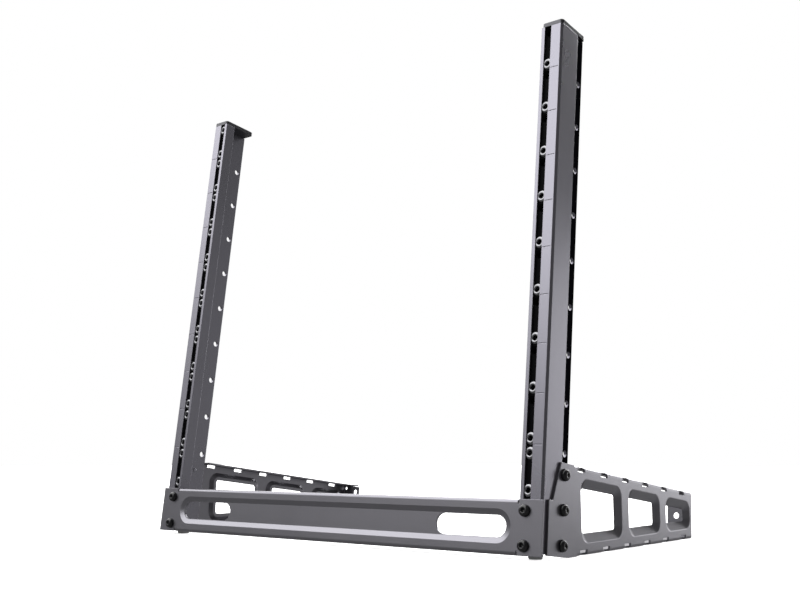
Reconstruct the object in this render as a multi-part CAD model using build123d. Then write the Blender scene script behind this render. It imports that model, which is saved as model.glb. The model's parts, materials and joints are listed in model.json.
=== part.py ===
"""Open desktop rack for 19-inch equipment: two leaning posts, a front beam and two side plates.

The right-hand pieces are drawn and the left-hand ones are their mirror images. What belongs to a
post is drawn upright in a post frame (x across, y rearward from the post's front face, z along
the post from its lowest scored line) and then tipped back by the lean.
"""

import os
from math import atan, cos, radians, sin, tan

from build123d import *

# Rack standard
rack_unit = 44.45
hole_columns = 465.1
pair_half = 6.35

# Stance of the posts: how far they lean, how long they are, and how far their heels clear the floor
lean = 7.1
units_above = 9
post_below = 91.0
heel_clearance = 0.873

# Post section
clear_opening = 451.2
post_width = 22.5
post_depth = 44.7
box_depth = 12.8
corner_chamfer = 2.0
outer_face_end = 29.8
web_recess = 3.1
web_wall = 2.8
slot_width = 7.0
lip = 2.0
score_depth = 0.35
score_width = 0.7
score_margin = 1.0

# Threaded strip held behind the slot lips
strip_width = 10.0
strip_thickness = 4.5
strip_play = 0.25
relief_depth = 4.5
countersink = 9.6
countersink_depth = 1.6
thread_bore = 5.0

# Cable holes in the posts' rear webs
web_hole = 6.2
web_hole_back = 5.7
web_hole_drop = 3.3

# Post caps, a little shorter than the posts' webs
cap_thickness = 4.1
cap_back = 1.3
cap_corner = 3.2

# Sheet metal
sheet = 2.0
bend = 3.0
bolt_hole = 6.4

# Front beam, pressed from sheet
beam_top = -46.6
beam_height = 47.0
beam_flange = 18.0
beam_gap = 0.7
bend_relief_width = 1.3
bend_relief_drop = 4.0
ear_bolt_drop = 9.5
ear_bolt_pitch = 29.1

# Long recess and oval cut-outs in the beam
press_margin = 31.3
press_top = 8.7
press_height = 29.4
press_depth = 2.0
press_run = 4.8
oval_inner = 138.1
oval_length = 75.0
oval_height = 18.8

# Side plates, bent from sheet; their reach is taken at the floor
plate_reach = 294.8
rear_lean = 4.6
plate_top = -12.2
plate_front = 7.5
plate_front_top = -45.6
plate_step = 6.5
slant_head = 25.7
plate_heel = 31.6
panel_gap = 1.8
top_flange = 12.0
base_flange = 26.0
rear_flange = 27.5
side_bolt_back = 31.2
side_bolt_drop = 10.4
side_bolt_pitch = 30.0

# Flared windows in the side plates
window_ends = [(56.2, 134.0), (148.2, 216.6), (230.6, 289.5)]
window_sill = 10.5
window_head = 10.3
window_corner = 11.0
corner_share = 0.45
flare_run = 8.0
flare_depth = 4.8
rim_round = 2.5

# Slots across the side plates' bends
edge_slot_length = 13.0
edge_slot_drop = 4.9
edge_slot_inset = 3.4
edge_slot_first = 58.9
edge_slot_pitch = 42.5

# Holes in the side plates' rear flanges
rear_hole = 6.5
lower_hole_inset = 17.7
lower_hole_height = 22.9
upper_hole_inset = 21.6
upper_hole_drop = 9.6
corner_hole = 4.2
corner_hole_inset = 5.0

# Bumper feet
foot_top = 15.0
foot_base = 12.0
foot_back = 17.7

# Construction aids: how far a cutter runs past what it cuts, and how near an edge is found
overrun = 1.0
nearness = 0.1

# Values worked out from the sizes above
opening_half = clear_opening / 2
outer_half = opening_half + post_width
plate_outer = outer_half + sheet
column = hole_columns / 2
post_top = units_above * rack_unit
zero_line_height = heel_clearance + post_below * cos(radians(lean)) + post_depth * sin(radians(lean))
beam_bottom = beam_top - beam_height
slope = tan(radians(lean))
rear_slope = tan(radians(rear_lean))
flare_angle = atan(flare_depth / flare_run)


def tipped(shape):
    """Turn a shape from the upright post frame to its leaning place."""
    return Pos(0, 0, zero_line_height) * Rot(-lean, 0, 0) * shape


def line_height(z_post, y):
    """World height, at depth y, of the line z_post that crosses the leaning post."""
    return zero_line_height + z_post / cos(radians(lean)) - slope * y


def post_point(y_post, z_post):
    """World depth and height of a point given in the post frame."""
    point = tipped(Pos(0, y_post, z_post)).position
    return (point.Y, point.Z)


def block(x_span, y_span, z_span):
    """Box given by its spans along the three axes."""
    spans = (x_span, y_span, z_span)
    middle = [(low + high) / 2 for low, high in spans]
    size = [high - low for low, high in spans]
    return Pos(*middle) * Box(*size)


def rod(diameter, length, axis):
    """Cylinder about the origin along X or Y, for holes."""
    turn = {"X": Rot(0, 90, 0), "Y": Rot(90, 0, 0)}[axis]
    return turn * Cylinder(diameter / 2, length)


def side_face(points, x):
    """Flat face in the plane x, parallel to a side plate, from (y, z) points."""
    return Pos(x, 0, 0) * make_face(Plane.YZ * Polyline(points, close=True))


def mirrored(shape):
    """The same piece on the left-hand side."""
    return mirror(shape, about=Plane.YZ)


def unit_lines():
    """Heights of the scored unit lines in the post frame."""
    return [index * rack_unit for index in range(units_above)]


def hole_heights():
    """Heights of the equipment holes: a pair about every unit line, and one at each end."""
    heights = [-rack_unit + pair_half]
    for line in unit_lines():
        heights += [line - pair_half, line + pair_half]
    return heights + [post_top - pair_half]


def ear_bolt_heights():
    """Heights of the two bolts at each end of the beam."""
    first = beam_top - ear_bolt_drop
    return [first, first - ear_bolt_pitch]


def side_bolt_heights():
    """Heights of the three bolts that hold a side plate to its post."""
    first = plate_top - side_bolt_drop
    return [first - index * side_bolt_pitch for index in range(3)]


def post():
    """Right-hand post: an extrusion with a front slot, a front box and a rear web."""
    length = (-post_below, post_top)
    past = (-post_below - overrun, post_top + overrun)
    web_outer = outer_half - web_recess
    web_inner = web_outer - web_wall
    body = block((opening_half, outer_half), (0, box_depth), length)
    body += block((web_inner, outer_half), (0, outer_face_end), length)
    body += block((web_inner, web_outer), (0, post_depth), length)
    front = body.edges().filter_by(Axis.Z).filter_by_position(Axis.Y, -nearness, nearness)
    body = chamfer(front.sort_by(Axis.X)[-1], corner_chamfer)
    half_slot = slot_width / 2
    half_cavity = strip_width / 2 + strip_play
    cavity_back = lip + strip_thickness + strip_play
    slot_back = cavity_back + relief_depth
    body -= block((column - half_slot, column + half_slot), (-overrun, slot_back), past)
    body -= block((column - half_cavity, column + half_cavity), (lip, cavity_back), past)
    score_span = (column + half_slot + score_margin, outer_half - corner_chamfer - score_margin)
    for line in unit_lines():
        score = (line - score_width / 2, line + score_width / 2)
        body -= block(score_span, (-overrun, score_depth), score)
    for line in unit_lines():
        hole = rod(web_hole, 2 * post_width, "X")
        body -= Pos(web_inner, post_depth - web_hole_back, line - web_hole_drop) * hole
    for height in side_bolt_heights():
        body -= Pos(outer_half, side_bolt_back, height) * rod(thread_bore, post_width, "X")
    return tipped(body)


def threaded_strip():
    """Bar with countersunk tapped holes, drawn up against the back of the slot lips."""
    half = strip_width / 2
    back = lip + strip_thickness
    bar = block((column - half, column + half), (lip, back), (-post_below, post_top))
    sink = Rot(90, 0, 0) * Cone(thread_bore / 2, countersink / 2, countersink_depth)
    for height in hole_heights():
        bar -= Pos(column, back, height) * rod(thread_bore, 2 * back, "Y")
        bar -= Pos(column, lip + countersink_depth / 2, height) * sink
    for height in ear_bolt_heights():
        bar -= Pos(column, back, height) * rod(thread_bore, 2 * back, "Y")
    return tipped(bar)


def post_cap():
    """Plate that closes the top of a post, with rounded corners."""
    y_span = (0, post_depth - cap_back)
    cap = block((opening_half, outer_half), y_span, (post_top, post_top + cap_thickness))
    cap = fillet(cap.edges().filter_by(Axis.Z), cap_corner)
    return tipped(cap)


def pressed_slot(height, depth_from, depth_to):
    """Solid of the beam's long recess, narrowing rearward from the front face."""
    length = 2 * (plate_outer - press_margin)
    run = press_run * (depth_to - depth_from) / press_depth
    rim = SlotOverall(length, press_height)
    floor = SlotOverall(length - 2 * run, press_height - 2 * run)
    turn = Rot(90, 0, 0)
    sections = [Pos(0, depth_from, height) * turn * rim, Pos(0, depth_to, height) * turn * floor]
    return loft(sections, ruled=True)


def beam_channel():
    """Middle part of the beam: a web with a rounded bend to a flange above and below."""
    half_inside = opening_half - beam_gap
    full = (-plate_outer, plate_outer)
    outside = block((-half_inside, half_inside), (-sheet, beam_flange - sheet), (beam_bottom, beam_top))
    edges = outside.edges().filter_by(Axis.X)
    outside = fillet(edges.filter_by_position(Axis.Y, -sheet - nearness, -nearness), bend)
    inside = block(full, (0, beam_flange), (beam_bottom + sheet, beam_top - sheet))
    edges = inside.edges().filter_by(Axis.X)
    inside = fillet(edges.filter_by_position(Axis.Y, -nearness, nearness), bend - sheet)
    return outside - inside


def beam_ear():
    """Right-hand ear of the beam, set off from the bends by a relief at each corner."""
    half_inside = opening_half - beam_gap
    ear = block((half_inside, plate_outer), (-sheet, 0), (beam_bottom, beam_top))
    relief_span = (half_inside, half_inside + bend_relief_width)
    for end in (beam_bottom, beam_top):
        relief = (end - bend_relief_drop, end + bend_relief_drop)
        ear -= block(relief_span, (-sheet - overrun, overrun), relief)
    return ear


def front_beam():
    """Pressed channel between the posts, with flat ears bolted to their front faces."""
    ear = beam_ear()
    beam = beam_channel() + ear + mirrored(ear)
    press_middle = beam_top - press_top - press_height / 2
    beam += pressed_slot(press_middle, 0, press_depth)
    beam -= pressed_slot(press_middle, -sheet, press_depth - sheet)
    oval = Rot(90, 0, 0) * extrude(SlotOverall(oval_length, oval_height), beam_flange, both=True)
    for side in (-1, 1):
        beam -= Pos(side * (oval_inner + oval_length / 2), 0, press_middle) * oval
        for height in ear_bolt_heights():
            beam -= Pos(side * column, 0, height) * rod(bolt_hole, beam_flange, "Y")
    return tipped(beam)


def window_outline(ends, inset, depth):
    """Face of a window at a depth behind the plate's outer face, drawn in by an inset all round."""
    near, far = ends
    far_head = line_height(plate_top, far) - window_head
    near_head = line_height(plate_top, near) - window_head
    corners = [(near, window_sill), (far, window_sill), (far, far_head), (near, near_head)]
    rim = side_face(corners, plate_outer - depth)
    rim = fillet(rim.vertices(), min(window_corner, corner_share * (far_head - window_sill)))
    return offset(rim, -inset, kind=Kind.ARC) if inset else rim


def flare_wall(ends):
    """Solid behind the plate that leaves the window's flared wall one sheet thick."""
    grow = sheet * (1 - 1 / cos(flare_angle)) / tan(flare_angle)
    shrink = flare_run - sheet / sin(flare_angle)
    sections = [window_outline(ends, grow, sheet), window_outline(ends, shrink, flare_depth)]
    return loft(sections, ruled=True)


def flare_opening(ends):
    """Solid of a window's opening, narrowing inward."""
    sections = [window_outline(ends, 0, 0), window_outline(ends, flare_run, flare_depth)]
    return loft(sections, ruled=True)


def panel_end():
    """Depth at which the flat front of a side plate ends and its bent part begins."""
    return post_point(post_depth, 0)[0] + panel_gap


def rear_line(height, inset):
    """Depth of a side plate's leaning rear end at a height, set in from its rim."""
    return plate_reach + rear_slope * height - inset / cos(radians(rear_lean))


def head_corner(inset):
    """Depth and height of the corner between a side plate's head and rear end, set in from its rim."""
    head = line_height(plate_top, 0) - inset / cos(radians(lean))
    depth = rear_line(head, inset) / (1 + rear_slope * slope)
    return (depth, head - slope * depth)


def plate_outline(inset, x):
    """Face of the bent part of a side plate, set in from its rim, and longer by as much in front."""
    near = panel_end() - inset
    corners = [
        (near, inset),
        (rear_line(inset, inset), inset),
        head_corner(inset),
        (near, line_height(plate_top, near) - inset / cos(radians(lean))),
    ]
    return side_face(corners, x)


def bent_edges(tray, x):
    """The top, rear and bottom edges of a tray on its outer plane x."""
    outer = tray.edges().filter_by_position(Axis.X, x - nearness, x + nearness)
    return outer.sort_by(Axis.Y)[1:]


def plate_panel():
    """Flat front of a side plate, which lies on the post's outer face."""
    toe = post_point(plate_front, -post_below)[0]
    points = [
        (toe, slope * (plate_heel - toe)),
        post_point(plate_front, plate_front_top),
        post_point(plate_front + plate_step, plate_front_top),
        post_point(slant_head, plate_top),
        (panel_end(), line_height(plate_top, panel_end())),
        (panel_end(), 0),
        (plate_heel, 0),
    ]
    return extrude(side_face(points, outer_half), sheet, dir=(1, 0, 0))


def flange_trim(width, height, turn, far):
    """Block that trims a tray's flange to a width, from its front end at a height to the depth far."""
    x_span = (plate_outer - 2 * rear_flange, plate_outer - width)
    y_span = (-overrun, far - bend - panel_end())
    return Pos(0, panel_end(), height) * Rot(turn, 0, 0) * block(x_span, y_span, (-bend, bend))


def rear_flange_slant():
    """Wedge that slopes the head of the rear flange down towards its inner edge."""
    depth, height = head_corner(0)
    width = rear_flange - bend + overrun
    sides = [(0, 0), (-width, 0), (-width, -slope * width)]
    wedge = extrude(make_face(Plane.XZ * Polyline(sides, close=True)), 2 * bend, both=True)
    above = block((-width, 0), (-2 * bend, 2 * bend), (0, bend))
    behind = block((-width, 0), (-bend, 2 * bend), (-rear_flange, bend))
    return Pos(plate_outer - bend, depth, height) * ((wedge + above) & behind)


def plate_tray():
    """Bent part of a side plate: a wall with a flange above, behind and below."""
    inner = plate_outer - rear_flange
    tray = extrude(plate_outline(0, inner), rear_flange, dir=(1, 0, 0))
    tray = fillet(bent_edges(tray, plate_outer), bend)
    hollow = extrude(plate_outline(sheet, inner - sheet), rear_flange, dir=(1, 0, 0))
    hollow = fillet(bent_edges(hollow, outer_half), bend - sheet)
    tray -= hollow
    tray -= flange_trim(top_flange, line_height(plate_top, panel_end()), -lean, head_corner(0)[0])
    tray -= flange_trim(base_flange, 0, 0, plate_reach)
    return tray - rear_flange_slant()


def edge_slot_depths():
    """Depths of the slots along a plate's bends, as many as fit before its rear end."""
    room = plate_reach - edge_slot_first - edge_slot_length
    count = int(room / edge_slot_pitch) + 1
    return [edge_slot_first + index * edge_slot_pitch for index in range(count)]


def rear_holes():
    """Inset, height and diameter of the holes in a plate's rear flange."""
    top = head_corner(0)[1]
    return [
        (lower_hole_inset, lower_hole_height, rear_hole),
        (upper_hole_inset, top - upper_hole_drop, rear_hole),
        (corner_hole_inset, top - corner_hole_inset, corner_hole),
        (corner_hole_inset, corner_hole_inset, corner_hole),
    ]


def side_plate():
    """Right-hand side plate: a bent tray with flared windows, slotted bends and a bolted front."""
    plate = plate_panel() + plate_tray()
    for ends in window_ends:
        plate += flare_wall(ends)
        plate -= flare_opening(ends)
    outer_face = plate.faces().sort_by(Axis.X)[-1]
    rims = [edge for wire in outer_face.inner_wires() for edge in wire.edges()]
    plate = fillet(rims, rim_round)
    notch = Box(2 * edge_slot_inset, edge_slot_length, 2 * edge_slot_drop)
    for y in edge_slot_depths():
        plate -= Pos(plate_outer, y, line_height(plate_top, y)) * Rot(-lean, 0, 0) * notch
        plate -= Pos(plate_outer, y, 0) * notch
    for height in side_bolt_heights():
        hole = Pos(outer_half, side_bolt_back, height) * rod(bolt_hole, post_width, "X")
        plate -= tipped(hole)
    for inset, height, diameter in rear_holes():
        place = Pos(plate_outer - inset, rear_line(height, 0), height) * Rot(-rear_lean, 0, 0)
        plate -= place * rod(diameter, 4 * sheet, "Y")
    return plate


def foot():
    """Rubber bumper under a post, its top trimmed to the post's sloping end."""
    middle = post_point(foot_back, -post_below)[0]
    top = line_height(-post_below, middle - foot_top)
    cone = Pos(column, middle, top / 2) * Cone(foot_base / 2, foot_top / 2, top)
    post_end = block((0, plate_outer), (-post_depth, 2 * post_depth), (-post_below, 0))
    return cone - tipped(post_end)


def build():
    """All pieces of the rack by name, with the origin under the middle of its footprint."""
    right = {
        "post": post(),
        "threaded_strip": threaded_strip(),
        "post_cap": post_cap(),
        "side_plate": side_plate(),
        "foot": foot(),
    }
    pieces = {"front_beam": front_beam()}
    for name, shape in right.items():
        pieces["right_" + name] = shape
        pieces["left_" + name] = mirrored(shape)
    front = pieces["front_beam"].bounding_box().min.Y
    rear = pieces["right_side_plate"].bounding_box().max.Y
    footprint = Pos(0, -(front + rear) / 2, 0)
    return {name: footprint * shape for name, shape in pieces.items()}


if __name__ == "__main__":
    os.makedirs("parts", exist_ok=True)
    for name, shape in build().items():
        export_step(shape, f"parts/{name}.step")
        print(name, [round(v, 2) for v in (*shape.bounding_box().min, *shape.bounding_box().max)])
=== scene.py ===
# %% [markdown]
# # An open desktop rack
# This lesson dresses a small leaning rack for 19-inch equipment. The shapes of its posts, beam and
# side plates come in as a fixed frame, in metres, and stay where they are. What we add is the rest:
# bolts, bare metal in the tapped holes, powder coat with a fine texture, a floor, light and a camera.

import json
from math import cos, pi, radians, sin, tau

import bmesh
import bpy
from mathutils import Matrix, Vector


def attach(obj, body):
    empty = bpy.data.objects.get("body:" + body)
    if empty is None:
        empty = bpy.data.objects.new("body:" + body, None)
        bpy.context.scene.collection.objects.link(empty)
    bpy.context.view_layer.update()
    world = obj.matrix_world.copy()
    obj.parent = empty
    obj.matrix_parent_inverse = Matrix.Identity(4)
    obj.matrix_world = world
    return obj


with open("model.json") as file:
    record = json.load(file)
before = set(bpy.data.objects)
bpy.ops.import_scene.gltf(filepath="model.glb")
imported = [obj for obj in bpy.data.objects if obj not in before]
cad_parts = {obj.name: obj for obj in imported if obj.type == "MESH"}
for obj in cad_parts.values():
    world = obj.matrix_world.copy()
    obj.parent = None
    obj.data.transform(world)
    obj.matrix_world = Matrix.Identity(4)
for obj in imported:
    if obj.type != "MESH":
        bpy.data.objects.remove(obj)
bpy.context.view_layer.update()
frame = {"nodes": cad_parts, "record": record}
nodes = frame["nodes"]
mounts = {mount["name"]: mount for mount in frame["record"]["mounts"]}
print("pieces in the frame:", sorted(nodes))

# %% [markdown]
# The posts lean back, so nothing on them lies along a world axis. Rather than measure the lean again,
# we read it from the tapped holes in the record: two holes on one post give the direction along the
# post, and a hole's own axis gives the direction out of its front face. Both are used for every
# piece that sits on a post.

# %% The leaning directions
MM = 0.001
RACK_UNIT = 44.45 * MM
PAIR_HALF = 6.35 * MM
low_hole = Vector(mounts["right_low_upper_hole"]["pos_m"])
top_hole = Vector(mounts["right_top_upper_hole"]["pos_m"])
along_post = (top_hole - low_hole).normalized()
out_of_post = Vector(mounts["right_low_upper_hole"]["axis"]).normalized()
lowest_line = low_hole - along_post * (RACK_UNIT + PAIR_HALF)
column = low_hole.x
print("lean in degrees:", round(along_post.angle(Vector((0, 0, 1))) * 180 / pi, 2))


def on_post(side, height, out):
    """A point on a hole column: side is 1 (right) or -1 (left), out counts from the hole's middle."""
    point = lowest_line + along_post * height + out_of_post * out
    return Vector((side * column, point.y, point.z))


# %% [markdown]
# The camera stands low, in front of the right-hand post, and looks a little upwards. That makes the
# posts seem to lean towards the middle of the picture. A camera can be aimed with a rotation, but
# a matrix built from its viewing direction is easier to check: right, up and backwards are its columns.

# %% Camera
IMAGE_WIDTH = 800
FOCAL_PIXELS = 1012.64
SENSOR_MM = 36.0
EYE = Vector((699.85, -898.11, 88.76)) * MM
YAW = radians(-38.931)
PITCH = radians(8.643)
ROLL = radians(-0.061)

camera_data = bpy.data.cameras.new("camera")
camera_data.sensor_width = SENSOR_MM
camera_data.lens = FOCAL_PIXELS * SENSOR_MM / IMAGE_WIDTH
camera = bpy.data.objects.new("camera", camera_data)
bpy.context.collection.objects.link(camera)
forward = Vector((sin(YAW) * cos(PITCH), cos(YAW) * cos(PITCH), sin(PITCH)))
level = Vector((cos(YAW), -sin(YAW), 0))
rightward = level * cos(ROLL) + level.cross(forward) * sin(ROLL)
upward = rightward.cross(forward)
axes = Matrix((rightward, upward, -forward)).transposed()
camera.matrix_world = Matrix.Translation(EYE) @ axes.to_4x4()
bpy.context.scene.camera = camera
print("lens in mm:", round(camera_data.lens, 2))

# %% [markdown]
# Much of this lesson wires shader nodes, and a few tiny helpers keep that short. They take plain
# values or other nodes' sockets, and most give a socket back, so they nest like ordinary functions.
# Writing out every link by hand would do the same, but the idea of a material would drown in it.

# %% Node helpers


def feed(tree, socket, value):
    """Give a socket its value: another node's output, or a plain one (three parts for a colour)."""
    if isinstance(value, bpy.types.NodeSocket):
        tree.links.new(value, socket)
    elif socket.type == "RGBA":
        socket.default_value = (*value, 1)
    else:
        socket.default_value = value


def add_node(tree, kind, **inputs):
    """A new node with some of its inputs fed by name, their spaces written as underscores."""
    node = tree.nodes.new(kind)
    for name, value in inputs.items():
        feed(tree, node.inputs[name.replace("_", " ")], value)
    return node


def combine(tree, operation, *values):
    """What a Math node makes of its values."""
    node = tree.nodes.new("ShaderNodeMath")
    node.operation = operation
    for socket, value in zip(node.inputs, values):
        feed(tree, socket, value)
    return node.outputs[0]


def spread(tree, value, start, end, low=0.0, high=1.0):
    """What a Map Range node makes of a value: low up to the start, high from the end on."""
    node = add_node(tree, "ShaderNodeMapRange", Value=value, From_Min=start, From_Max=end)
    node.inputs["To Min"].default_value = low
    node.inputs["To Max"].default_value = high
    return node.outputs["Result"]


def mix(tree, factor, first, second, kind="RGBA"):
    """What a Mix node makes of two colours, or of two values where the kind is FLOAT."""
    node = tree.nodes.new("ShaderNodeMix")
    node.data_type = kind
    for name, value in (("Factor", factor), ("A", first), ("B", second)):
        feed(tree, node.inputs[name], value)
    return node.outputs["Result"]


def tint(colour, factor):
    """A colour made darker or lighter, with no part over one."""
    return tuple(min(1.0, channel * factor) for channel in colour)


def surface_place(tree):
    """Where a point lies on its piece, as a socket for textures."""
    return tree.nodes.new("ShaderNodeTexCoord").outputs["Object"]


print("node helpers are ready")

# %% [markdown]
# Shader node groups work like functions too: inputs on the left, outputs on the right. Both the powder
# coat and the rubber need small-scale bumps and slow colour drift, so such effects are built once as
# groups, and each material places them with its own values. The Principled shader stays outside.

# %% Groups and materials


def new_group(name, inputs, outputs):
    """An empty shader group with named sockets: inputs are (name, kind, default), outputs (name, kind)."""
    tree = bpy.data.node_groups.new(name, "ShaderNodeTree")
    for label, kind, default in inputs:
        socket = tree.interface.new_socket(name=label, in_out="INPUT", socket_type=kind)
        socket.default_value = default
    for label, kind in outputs:
        tree.interface.new_socket(name=label, in_out="OUTPUT", socket_type=kind)
    entry = tree.nodes.new("NodeGroupInput")
    result = tree.nodes.new("NodeGroupOutput")
    return tree, entry, result


def use_group(tree, group, **inputs):
    """A group placed in a material, with its sockets fed by name."""
    node = tree.nodes.new("ShaderNodeGroup")
    node.node_tree = group
    for name, value in inputs.items():
        feed(tree, node.inputs[name.replace("_", " ")], value)
    return node


def new_material(name):
    """A material with an empty tree but for its Principled shader and output."""
    material = bpy.data.materials.new(name)
    material.use_nodes = True
    tree = material.node_tree
    return material, tree, tree.nodes["Principled BSDF"]


print("node groups so far:", len(bpy.data.node_groups))

# %% [markdown]
# Powder coat is sprayed as dust and baked, so it flows into a skin like orange peel: soft bumps about
# a millimetre across, with a finer grain on top. One noise is too regular, so two are mixed. The
# height goes to a Bump node in each material, and the slow drift mottles its colour and gloss.

# %% Group: orange peel
PEEL_SIZE = 1.1
GRAIN_FINENESS = 3.7
DRIFT_SCALE = 14.0


def make_orange_peel():
    """Height and slow drift of a baked powder coat."""
    tree, entry, result = new_group(
        "orange_peel",
        [("Size", "NodeSocketFloat", 1.4), ("Grain", "NodeSocketFloat", 0.35)],
        [("Height", "NodeSocketFloat"), ("Drift", "NodeSocketFloat")],
    )
    noise = "ShaderNodeTexNoise"
    place = surface_place(tree)
    scale = combine(tree, "DIVIDE", 1 / MM, entry.outputs["Size"])
    finer = combine(tree, "MULTIPLY", scale, GRAIN_FINENESS)
    waves = add_node(tree, noise, Vector=place, Scale=scale, Detail=1.0, Roughness=0.4)
    grain = add_node(tree, noise, Vector=place, Scale=finer, Detail=2.0, Roughness=0.5)
    drift = add_node(tree, noise, Vector=place, Scale=DRIFT_SCALE, Detail=3.0, Roughness=0.55)
    height = mix(tree, entry.outputs["Grain"], waves.outputs["Fac"], grain.outputs["Fac"], "FLOAT")
    tree.links.new(height, result.inputs["Height"])
    tree.links.new(drift.outputs["Fac"], result.inputs["Drift"])
    return tree


ORANGE_PEEL = make_orange_peel()
print("group made:", ORANGE_PEEL.name)

# %% [markdown]
# Paint thins on sharp edges and gets rubbed there first. A Bevel node gives the normal of an edge as
# if it were rounded, so where it differs from the true normal there is an edge nearby. The difference,
# broken up by noise, becomes a mask. The rounded normal itself also goes out, because it gives every
# pressed or cut edge the thin highlight that real sheet metal shows.

# %% Group: soft edges
BEVEL_SAMPLES = 6
EDGE_AGREEMENT = (0.98, 0.86)
CHIP_SCALE = 260.0
CHIP_LIMITS = (0.48, 0.66)


def make_soft_edges():
    """Rounded normal and a wear mask along edges."""
    tree, entry, result = new_group(
        "soft_edges",
        [("Radius", "NodeSocketFloat", 0.6 * MM), ("Wear", "NodeSocketFloat", 0.3)],
        [("Normal", "NodeSocketVector"), ("Mask", "NodeSocketFloat")],
    )
    bevel = add_node(tree, "ShaderNodeBevel", Radius=entry.outputs["Radius"])
    bevel.samples = BEVEL_SAMPLES
    rounded = bevel.outputs["Normal"]
    true_normal = tree.nodes.new("ShaderNodeNewGeometry").outputs["Normal"]
    agree = tree.nodes.new("ShaderNodeVectorMath")
    agree.operation = "DOT_PRODUCT"
    tree.links.new(rounded, agree.inputs[0])
    tree.links.new(true_normal, agree.inputs[1])
    edge = spread(tree, agree.outputs["Value"], *EDGE_AGREEMENT)
    chips = add_node(tree, "ShaderNodeTexNoise", Vector=surface_place(tree), Scale=CHIP_SCALE, Detail=3.0)
    broken = combine(tree, "MULTIPLY", edge, spread(tree, chips.outputs["Fac"], *CHIP_LIMITS))
    mask = combine(tree, "MULTIPLY", broken, entry.outputs["Wear"])
    tree.links.new(rounded, result.inputs["Normal"])
    tree.links.new(mask, result.inputs["Mask"])
    return tree


SOFT_EDGES = make_soft_edges()
print("group made:", SOFT_EDGES.name)

# %% [markdown]
# Along the back of each post's outer face runs a shallow rebate, and its bottom, the web, lies in
# shade beside the grey face. That shade is painted: the web is made almost black and not metallic.
# It could be a piece of its own, but it is only painted shade. The web is a flat plane at one distance
# from the rack's middle, so the mask asks two things of a point: is it at that distance, and does its
# surface face sideways. Both belong to the piece, so the mask stays put.

# %% Group: painted shade on the deep web
PLANE_TOLERANCE = 0.5 * MM
SIDEWAYS_TOLERANCE = 0.1


def make_painted_deep_shade():
    """A mask for painted shade: the surfaces that face sideways at one distance from the rack's middle."""
    tree, entry, result = new_group(
        "painted_deep_shade",
        [("Distance", "NodeSocketFloat", 0.2)],
        [("Mask", "NodeSocketFloat")],
    )
    place = tree.nodes.new("ShaderNodeTexCoord")
    sizes = []
    for source in ("Object", "Normal"):
        split = add_node(tree, "ShaderNodeSeparateXYZ", Vector=place.outputs[source])
        sizes.append(combine(tree, "ABSOLUTE", split.outputs["X"]))
    at_distance = combine(tree, "COMPARE", sizes[0], entry.outputs["Distance"], PLANE_TOLERANCE)
    sideways = combine(tree, "COMPARE", sizes[1], 1.0, SIDEWAYS_TOLERANCE)
    tree.links.new(combine(tree, "MULTIPLY", at_distance, sideways), result.inputs["Mask"])
    return tree


PAINTED_DEEP_SHADE = make_painted_deep_shade()
print("group made:", PAINTED_DEEP_SHADE.name)

# %% [markdown]
# All painted pieces share one dark blue-grey powder coat with fine metal flake in it, so they mirror
# the studio softly, bright on one face and nearly black on the next. Most of that is the Metallic
# value. Posts and sheet take the powder differently, so each gets its own gloss and texture. The
# function wires the groups into a Principled shader, whose own sockets keep the constants.

# %% Material: powder coat
FLAKE = 0.82
MOTTLE = (0.93, 1.07)
GLOSS_SWING = 0.03
WORN_METAL = (0.42, 0.42, 0.44)
# Painted shade: the near-black colour that stands in for the shade on the posts' deep web.
PAINTED_WEB_SHADE = (0.006, 0.006, 0.008)
EDGE_RADIUS = 0.5 * MM
EDGE_WEAR = 0.25
BUMP_HEIGHT = 0.2 * MM


def powder_coat(name, colour, roughness, peel_strength, shaded_plane=None):
    """Flaked powder coat with orange peel, mottling and worn edges; one plane of it may get painted shade.
    """
    material, tree, shader = new_material(name)
    peel = use_group(tree, ORANGE_PEEL, Size=PEEL_SIZE)
    edges = use_group(tree, SOFT_EDGES, Radius=EDGE_RADIUS, Wear=EDGE_WEAR)
    drift = peel.outputs["Drift"]
    mottled = mix(tree, drift, tint(colour, MOTTLE[0]), tint(colour, MOTTLE[1]))
    coloured = mix(tree, edges.outputs["Mask"], mottled, WORN_METAL)
    shader.inputs["Metallic"].default_value = FLAKE
    shader.inputs["Specular IOR Level"].default_value = 0.0
    # Painted shade on the deep web: the colour goes near black and the metal sheen is taken away.
    if shaded_plane is not None:
        deep = use_group(tree, PAINTED_DEEP_SHADE, Distance=shaded_plane).outputs["Mask"]
        coloured = mix(tree, deep, coloured, PAINTED_WEB_SHADE)
        tree.links.new(spread(tree, deep, 0.0, 1.0, FLAKE, 0.0), shader.inputs["Metallic"])
    tree.links.new(coloured, shader.inputs["Base Color"])
    gloss = spread(tree, drift, 0.0, 1.0, roughness - GLOSS_SWING, roughness + GLOSS_SWING)
    tree.links.new(gloss, shader.inputs["Roughness"])
    bump = add_node(tree, "ShaderNodeBump", Strength=peel_strength, Distance=BUMP_HEIGHT)
    tree.links.new(peel.outputs["Height"], bump.inputs["Height"])
    tree.links.new(edges.outputs["Normal"], bump.inputs["Normal"])
    tree.links.new(bump.outputs["Normal"], shader.inputs["Normal"])
    return material


# Distance of the posts' deep web from the middle, where the painted shade goes.
POST_WEB_PLANE = 245.0 * MM
POST_PAINT = powder_coat("post_paint", (0.213, 0.208, 0.236), 0.28, 0.14, POST_WEB_PLANE)
SHEET_PAINT = powder_coat("sheet_paint", (0.208, 0.204, 0.224), 0.29, 0.18)
CAP_PAINT = powder_coat("cap_paint", (0.085, 0.085, 0.090), 0.38, 0.18)
print("paints made:", POST_PAINT.name, SHEET_PAINT.name, CAP_PAINT.name)

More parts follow.
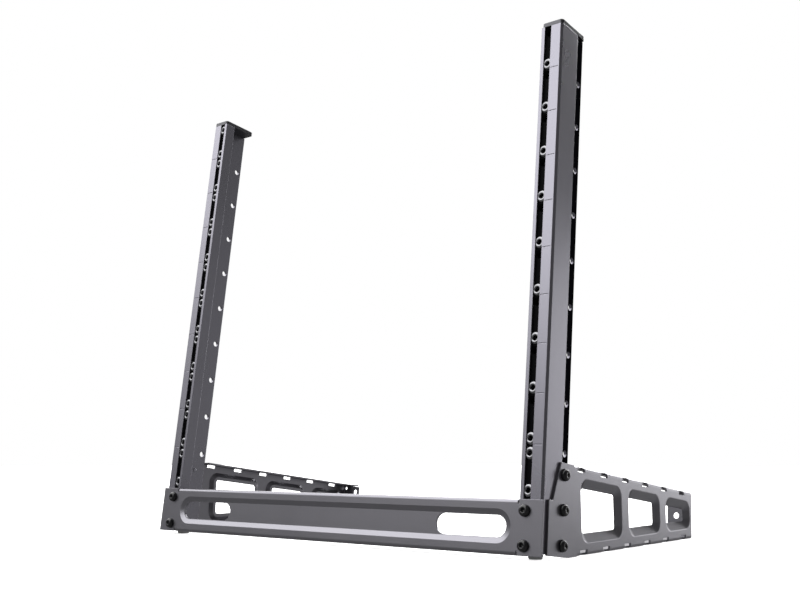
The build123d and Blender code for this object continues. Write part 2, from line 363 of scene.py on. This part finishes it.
# %% [markdown]
# The bars behind the slots and the bolts are steel with a thin black oxide. Oxide is not a paint: the
# metal shows through it as a dark, slightly streaky sheen. Stretching a noise along the bar gives
# those streaks, and the bolts use the same material with more gloss.

# %% Material: black oxide
STREAK_SCALE = (900, 900, 40)


def vary(tree, shader, mask, colour, tints, roughness, swings):
    """Let one mask vary a shader's colour between two tints, and its roughness by two swings."""
    shade = mix(tree, mask, tint(colour, tints[0]), tint(colour, tints[1]))
    tree.links.new(shade, shader.inputs["Base Color"])
    gloss = spread(tree, mask, 0.0, 1.0, roughness + swings[0], roughness + swings[1])
    tree.links.new(gloss, shader.inputs["Roughness"])


def black_oxide(name, colour, roughness, mirror):
    """Blackened steel, streaked along its length."""
    material, tree, shader = new_material(name)
    stretch = add_node(tree, "ShaderNodeMapping", Vector=surface_place(tree), Scale=STREAK_SCALE)
    streaks = add_node(tree, "ShaderNodeTexNoise", Vector=stretch.outputs["Vector"], Scale=1.0, Detail=4.0)
    vary(tree, shader, streaks.outputs["Fac"], colour, (0.7, 1.5), roughness, (-0.08, 0.08))
    shader.inputs["Specular IOR Level"].default_value = mirror
    return material


STRIP_STEEL = black_oxide("strip_steel", (0.0015, 0.0015, 0.002), 0.60, 0.03)
BOLT_STEEL = black_oxide("bolt_steel", (0.006, 0.006, 0.007), 0.20, 0.45)
print("steels made:", STRIP_STEEL.name, BOLT_STEEL.name)

# %% [markdown]
# Cutting a countersink after blackening leaves bright bare steel with very fine tool marks. They are
# finer than a pixel and only have to break up the reflection, so a plain fine noise stands in for
# them, and it varies the colour and the gloss together.

# %% Material: bare steel
TOOL_MARK_SCALE = 2400.0


def bare_steel(name, colour, roughness):
    """Freshly cut bright steel with fine tool marks."""
    material, tree, shader = new_material(name)
    place = surface_place(tree)
    marks = add_node(tree, "ShaderNodeTexNoise", Vector=place, Scale=TOOL_MARK_SCALE, Detail=2.0)
    vary(tree, shader, marks.outputs["Fac"], colour, (0.8, 1.15), roughness, (-0.06, 0.08))
    shader.inputs["Metallic"].default_value = 1.0
    return material


BARE_STEEL = bare_steel("bare_steel", (0.22, 0.22, 0.23), 0.24)
print("steel made:", BARE_STEEL.name)

# %% [markdown]
# The feet are moulded rubber. It is matt, with a fine pebble grain and a little grey dust in it, so its
# colour wanders and its gloss hardly shows. The powder coat's grain group serves here again, finer,
# with more grain and a stronger bump.

# %% Material: rubber
PEBBLE_SIZE = 0.7


def moulded_rubber(name, colour, roughness):
    """Matt rubber with a pebbled skin."""
    material, tree, shader = new_material(name)
    grain = use_group(tree, ORANGE_PEEL, Size=PEBBLE_SIZE, Grain=0.6)
    vary(tree, shader, grain.outputs["Drift"], colour, (0.75, 1.35), roughness, (-0.08, 0.08))
    bump = add_node(tree, "ShaderNodeBump", Strength=0.5, Distance=BUMP_HEIGHT)
    tree.links.new(grain.outputs["Height"], bump.inputs["Height"])
    tree.links.new(bump.outputs["Normal"], shader.inputs["Normal"])
    return material


FOOT_RUBBER = moulded_rubber("foot_rubber", (0.34, 0.34, 0.345), 0.75)
print("rubber made:", FOOT_RUBBER.name)

# %% [markdown]
# The frame's pieces keep their shapes and get these finishes in their own material slots. A piece's
# name ends with what it is, so one table of endings serves both sides. The longest ending is
# tried first, so that a short word never takes a piece that a longer one names better.

# %% Give the frame its finishes
FINISHES = {
    "post": POST_PAINT,
    "post_cap": CAP_PAINT,
    "side_plate": SHEET_PAINT,
    "front_beam": SHEET_PAINT,
    "threaded_strip": STRIP_STEEL,
    "foot": FOOT_RUBBER,
}


def finish_of(node_name):
    """The material of a frame node, by the piece that its name ends with."""
    for ending in sorted(FINISHES, key=len, reverse=True):
        if node_name.endswith(ending):
            return FINISHES[ending]


for node_name, node in nodes.items():
    for slot in node.material_slots:
        slot.material = finish_of(node_name)
    print(node_name, "->", finish_of(node_name).name)

# %% [markdown]
# Bolt heads and countersinks are turned shapes: one outline, spun about an axis. Blender has a spin
# tool and a Screw modifier, but writing the rings ourselves lets a ring be any shape, and the hex
# socket needs a six-sided one. On a hexagon the distance to the middle is the distance across half
# the flats, divided by the cosine of the angle from the nearest flat's middle. The last ring of an
# outline gets a face over it, which is the floor of a socket.

# %% Turning helper
SEGMENTS = 48
FACE_LEVEL = -0.05 * MM
SHARP_ANGLE = radians(30)


def hexagon(angle):
    """How much further out a hexagon's edge lies than its flats, in a direction."""
    return 1 / cos(angle % (tau / 6) - tau / 12)


def turn(mesh, outline, place, widest=None):
    """Spin an outline of (radius, height, six-sided) points, close its end and set it at a 4x4 place."""
    rings = []
    for radius, height, six_sided in outline:
        ring = []
        for step in range(SEGMENTS):
            angle = tau * step / SEGMENTS
            reach = radius * (hexagon(angle) if six_sided else 1)
            x = reach * cos(angle)
            if widest is not None and height > FACE_LEVEL:
                x = max(-widest, min(widest, x))
            ring.append(mesh.verts.new(place @ Vector((x, reach * sin(angle), height))))
        rings.append(ring)
    for inner, outer in zip(rings, rings[1:]):
        for step in range(SEGMENTS):
            following = (step + 1) % SEGMENTS
            mesh.faces.new((inner[step], inner[following], outer[following], outer[step]))
    mesh.faces.new(rings[-1])


def finish_piece(name, mesh, material):
    """Turn built faces into an object that rides on the rack."""
    for edge in mesh.edges:
        if len(edge.link_faces) == 2 and edge.calc_face_angle(0) > SHARP_ANGLE:
            edge.smooth = False
    for face in mesh.faces:
        face.smooth = True
    bmesh.ops.recalc_face_normals(mesh, faces=mesh.faces)
    data = bpy.data.meshes.new(name)
    mesh.to_mesh(data)
    mesh.free()
    data.materials.append(material)
    piece = bpy.data.objects.new(name, data)
    bpy.context.collection.objects.link(piece)
    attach(piece, "root")
    return piece


def facing(point, outward, upward_hint):
    """A 4x4 place at a point, with its third axis pointing outward."""
    third = outward.normalized()
    first = upward_hint.cross(third).normalized()
    second = third.cross(first)
    turned = Matrix((first, second, third)).transposed()
    return Matrix.Translation(point) @ turned.to_4x4()


print("segments round a turned piece:", SEGMENTS)

# %% [markdown]
# Ten black button-head bolts hold the rack together: two through each ear of the beam and three
# through each side plate. A button head is a low dome on a short straight edge, flat on top, with a
# hex socket. A lathe would cut it like this, so the outline is a lathe's: up the edge, over the dome
# along a quarter of an ellipse, across the flat, down the socket and in along its sloping floor.

# %% Bolt outline
HEAD_RADIUS = 5.4 * MM
HEAD_EDGE = 0.7 * MM
HEAD_HEIGHT = 4.2 * MM
FLAT_RADIUS = 2.7 * MM
SOCKET_HALF = 1.75 * MM
SOCKET_DEPTH = 2.3 * MM
DOME_STEPS = 10

bolt_outline = [(HEAD_RADIUS - 0.2 * MM, 0, False), (HEAD_RADIUS, 0.15 * MM, False)]
for step in range(DOME_STEPS + 1):
    climb = pi / 2 * step / DOME_STEPS
    radius = FLAT_RADIUS + (HEAD_RADIUS - FLAT_RADIUS) * cos(climb)
    height = HEAD_EDGE + (HEAD_HEIGHT - HEAD_EDGE) * sin(climb)
    bolt_outline.append((radius, height, False))
bolt_outline.append((SOCKET_HALF * 1.12, HEAD_HEIGHT, True))
bolt_outline.append((SOCKET_HALF, HEAD_HEIGHT - 0.2 * MM, True))
bolt_outline.append((SOCKET_HALF, HEAD_HEIGHT - SOCKET_DEPTH, True))
bolt_outline.append((SOCKET_HALF * 0.3, HEAD_HEIGHT - SOCKET_DEPTH - 0.4 * MM, True))
print("points in the bolt's outline:", len(bolt_outline))

# %% [markdown]
# Each bolt sits on the face that it clamps, over its hole: the ear bolts in the column of the tapped
# holes, the side bolts further back on the side plates. The heads of one group are one mesh, because
# they are never moved apart. Each is turned about its own axis a little, as bolts are when tightened.

# %% Bolts
BEAM_FACE_OUT = 7.05 * MM
EAR_BOLT_HEIGHTS = (-56.1, -85.2)
SIDE_BOLT_HEIGHTS = (-22.6, -52.6, -82.6)
SIDE_BOLT_OUT = -26.15 * MM
PLATE_FACE = 250.1 * MM
EAR_TWISTS = (0.4, 1.1)
SIDE_TWISTS = (0.3, 0.8, 1.3)
SIDES = {"right": 1, "left": -1}


def on_side_bolt(side, height, plane, outward):
    """A place on a side bolt's axis, at a distance from the rack's middle, facing out (1) or in (-1)."""
    point = on_post(side, height * MM, SIDE_BOLT_OUT)
    point.x = side * plane
    return facing(point, Vector((side * outward, 0, 0)), along_post)


for side_name, side in SIDES.items():
    mesh = bmesh.new()
    for height, twist in zip(EAR_BOLT_HEIGHTS, EAR_TWISTS):
        place = facing(on_post(side, height * MM, BEAM_FACE_OUT), out_of_post, along_post)
        turn(mesh, bolt_outline, place @ Matrix.Rotation(twist + side, 4, "Z"))
    finish_piece(side_name + "_ear_bolts", mesh, BOLT_STEEL)
    mesh = bmesh.new()
    for height, twist in zip(SIDE_BOLT_HEIGHTS, SIDE_TWISTS):
        place = on_side_bolt(side, height, PLATE_FACE, 1)
        turn(mesh, bolt_outline, place @ Matrix.Rotation(twist, 4, "Z"))
    finish_piece(side_name + "_side_bolts", mesh, BOLT_STEEL)
print("bolts:", 2 * (len(EAR_BOLT_HEIGHTS) + len(SIDE_BOLT_HEIGHTS)))

# %% [markdown]
# On their inner side the side bolts' holes don't show: the paint runs over their ends. A thin painted
# disc over each end gives that, with the same turning helper and an outline of three points.

# %% Painted ends of the side bolts
WEB_INNER_PLANE = 242.2 * MM
END_RADIUS = 2.7 * MM
END_HEIGHT = 0.12 * MM
END_EDGE = 0.1 * MM

end_outline = [(END_RADIUS, 0, False), (END_RADIUS - END_EDGE, END_HEIGHT, False)]
end_outline.append((END_RADIUS / 2, END_HEIGHT, False))
for side_name, side in SIDES.items():
    mesh = bmesh.new()
    for height in SIDE_BOLT_HEIGHTS:
        turn(mesh, end_outline, on_side_bolt(side, height, WEB_INNER_PLANE, -1))
    finish_piece(side_name + "_bolt_ends", mesh, POST_PAINT)
print("painted ends on each side:", len(SIDE_BOLT_HEIGHTS))

# %% [markdown]
# In the slots, most tapped holes show a bright rounded rim of bare steel with threads inside. It could
# be painted with a mask in the bar's material, but a real rim catches light at its top and again low
# inside the hole, so it is turned as well. The slot is narrower than the rim, so its sides are held
# back to stay clear of the slot's lips. The outline ends deep in the bar, where a face closes it.

# %% Bare rims of the tapped holes
STRIP_FACE_OUT = 3.05 * MM
BORE_RADIUS = 2.2 * MM
THREAD_PITCH = 0.8 * MM
THREAD_DEPTH = 0.3 * MM
SLOT_CLEAR = 3.35 * MM
RIM_DROP = 0.8 * MM
THREAD_TURNS = 5
TOP_SINGLE = 393.7 * MM
BEAD = [(5.6, 0), (5.45, 0.45), (5.1, 0.8), (4.4, 1.1), (3.6, 1.25)]
BEAD += [(2.9, 1.15), (2.5, 0.9), (2.25, 0.4), (2.2, 0)]

rim_outline = [(radius * MM, height * MM, False) for radius, height in BEAD]
for turn_number in range(THREAD_TURNS):
    depth = THREAD_PITCH * turn_number
    rim_outline.append((BORE_RADIUS - THREAD_DEPTH, -depth - THREAD_PITCH / 2, False))
    rim_outline.append((BORE_RADIUS, -depth - THREAD_PITCH, False))

PAIR_LINES = range(9)
LOWEST_HOLE = -38.1 * MM
upper_holes = [line * RACK_UNIT + PAIR_HALF for line in PAIR_LINES]
lower_holes = [line * RACK_UNIT - PAIR_HALF for line in PAIR_LINES]
BARE_HOLES = {
    "right": [LOWEST_HOLE, lower_holes[0]] + upper_holes,
    "left": [LOWEST_HOLE] + lower_holes + upper_holes + [TOP_SINGLE],
}

for side_name, heights in BARE_HOLES.items():
    mesh = bmesh.new()
    for height in heights:
        point = on_post(SIDES[side_name], height - RIM_DROP, STRIP_FACE_OUT)
        turn(mesh, rim_outline, facing(point, out_of_post, along_post), widest=SLOT_CLEAR)
    rims = finish_piece(side_name + "_bare_rims", mesh, BARE_STEEL)
    print(rims.name, "holes:", len(heights), "faces:", len(rims.data.polygons))

# %% [markdown]
# The rack stands on a pale seamless floor. It is a plain white sheet that glows a little, which keeps
# it near white under any light. Glossy and diffuse rays pass it by: the paint mirrors a lot, and a
# white floor would light the undersides, which are nearly black on the real thing.

# %% Floor
FLOOR_REACH = 6.0
FLOOR_WHITE = (0.9, 0.9, 0.9, 1)
FLOOR_ROUGHNESS = 0.9
FLOOR_GLOW = 0.8
corners = [(-1, -1), (1, -1), (1, 1), (-1, 1)]
floor_mesh = bpy.data.meshes.new("floor")
floor_mesh.from_pydata([(x * FLOOR_REACH, y * FLOOR_REACH, 0) for x, y in corners], [], [(0, 1, 2, 3)])
floor = bpy.data.objects.new("floor", floor_mesh)
bpy.context.collection.objects.link(floor)
floor_material, floor_tree, floor_shader = new_material("pale_floor")
floor_shader.inputs["Base Color"].default_value = FLOOR_WHITE
floor_shader.inputs["Roughness"].default_value = FLOOR_ROUGHNESS
floor_shader.inputs["Emission Color"].default_value = (1, 1, 1, 1)
floor_shader.inputs["Emission Strength"].default_value = FLOOR_GLOW
floor_mesh.materials.append(floor_material)
floor.visible_diffuse = False
floor.visible_glossy = False
floor.visible_shadow = False
print("floor reaches", FLOOR_REACH, "m each way")

# %% [markdown]
# Metal shows what stands around it, so the light here is mostly the world: a large soft dome from the
# left and above, rising smoothly from a dim horizon, and a dark right-hand side. In a world the
# Generated coordinate is the direction of the ray, so its parts can be turned into brightness. Three
# soft spots lie behind the rack: a small bright one high up for thin highlights, a weak low glow on
# the right, and beside it a corner without the dim base light. The camera itself sees plain white.

# %% World
DOME_RADIANCE = 3.45
FULL_DOME = 0.43
DOME_CURVE = 2.2
BRIGHT_SIDE = (-0.996, 0.087, 0.10)
HORIZON_FADE = (-0.12, 0.02)
AMBIENT = 0.14
BELOW = 0.25
DIM_CORNER = (0.54, 0.77, -0.34)
DIM_FADE = (0.80, 0.96)
DIM_SHARE = 0.25
BACK_STRIP = (0.05, 0.88, 0.47)
BACK_FADE = (0.984, 0.997)
BACK_RADIANCE = 12.0
LOW_GLOW = (0.62, 0.74, -0.25)
LOW_FADE = (0.75, 0.97)
LOW_RADIANCE = 0.42

world = bpy.data.worlds.new("studio")
bpy.context.scene.world = world
world.use_nodes = True
sky = world.node_tree
direction = sky.nodes.new("ShaderNodeTexCoord").outputs["Generated"]
height = add_node(sky, "ShaderNodeSeparateXYZ", Vector=direction).outputs["Z"]


def fade(value, limits, low, high):
    """Turn a value into another range with a soft start and end."""
    result = spread(sky, value, *limits, low, high)
    result.node.interpolation_type = "SMOOTHSTEP"
    return result


def towards(aim):
    """How nearly a ray goes in a direction: 1 along it, 0 across it, -1 away from it."""
    node = sky.nodes.new("ShaderNodeVectorMath")
    node.operation = "DOT_PRODUCT"
    sky.links.new(direction, node.inputs[0])
    node.inputs[1].default_value = aim
    return node.outputs["Value"]


curve = combine(sky, "POWER", spread(sky, height, 0.0, FULL_DOME), DOME_CURVE)
dome = combine(sky, "MULTIPLY", curve, fade(towards(BRIGHT_SIDE), HORIZON_FADE, 0, DOME_RADIANCE))
back = fade(towards(BACK_STRIP), BACK_FADE, 0, BACK_RADIANCE)
low = fade(towards(LOW_GLOW), LOW_FADE, 0, LOW_RADIANCE)
dim = fade(towards(DIM_CORNER), DIM_FADE, 1, DIM_SHARE)
ambient = combine(sky, "MULTIPLY", fade(height, HORIZON_FADE, BELOW, AMBIENT), dim)
glow = combine(sky, "ADD", combine(sky, "ADD", dome, back), combine(sky, "ADD", low, ambient))

backdrop = sky.nodes["Background"]
backdrop.inputs["Color"].default_value = (1, 1, 1, 1)
seen = sky.nodes.new("ShaderNodeLightPath").outputs["Is Camera Ray"]
sky.links.new(mix(sky, seen, glow, 1.0, "FLOAT"), backdrop.inputs["Strength"])
bpy.context.scene.view_settings.view_transform = "Standard"
print("world nodes:", len(sky.nodes))

# %% [markdown]
# One lamp completes the set: a long low soft box behind the rack on the right. It grazes the side
# plates, so their flared window rims and bolts throw soft shadows, and it is the pale band that the
# posts' sides mirror. An area lamp's radiance is its power over pi and its area.

# %% Low lamp
LAMP_AZIMUTH = radians(167)
LAMP_ELEVATION = radians(4.5)
LAMP_DISTANCE = 12.0
LAMP_WIDTH = 7.6
LAMP_HEIGHT = 3.4
LAMP_RADIANCE = 2.6
LAMP_TARGET = Vector((0.25, -0.05, 0.06))

lamp_data = bpy.data.lights.new("low_lamp", "AREA")
lamp_data.shape = "RECTANGLE"
lamp_data.size = LAMP_WIDTH
lamp_data.size_y = LAMP_HEIGHT
lamp_data.energy = LAMP_RADIANCE * pi * LAMP_WIDTH * LAMP_HEIGHT
lamp = bpy.data.objects.new("low_lamp", lamp_data)
bpy.context.collection.objects.link(lamp)
level_reach = cos(LAMP_ELEVATION) * LAMP_DISTANCE
offset = Vector((sin(LAMP_AZIMUTH) * level_reach, -cos(LAMP_AZIMUTH) * level_reach, 0))
offset.z = sin(LAMP_ELEVATION) * LAMP_DISTANCE
turned = offset.to_track_quat("Z", "Y").to_matrix().to_4x4()
lamp.matrix_world = Matrix.Translation(LAMP_TARGET + offset) @ turned
lamp.visible_camera = False
print("lamp watts:", round(lamp_data.energy, 2))

# %% [markdown]
# The added pieces may not make the rack bigger than its frame, apart from bolt heads that really stand
# proud of it.

# %% Finish
print("scene built")
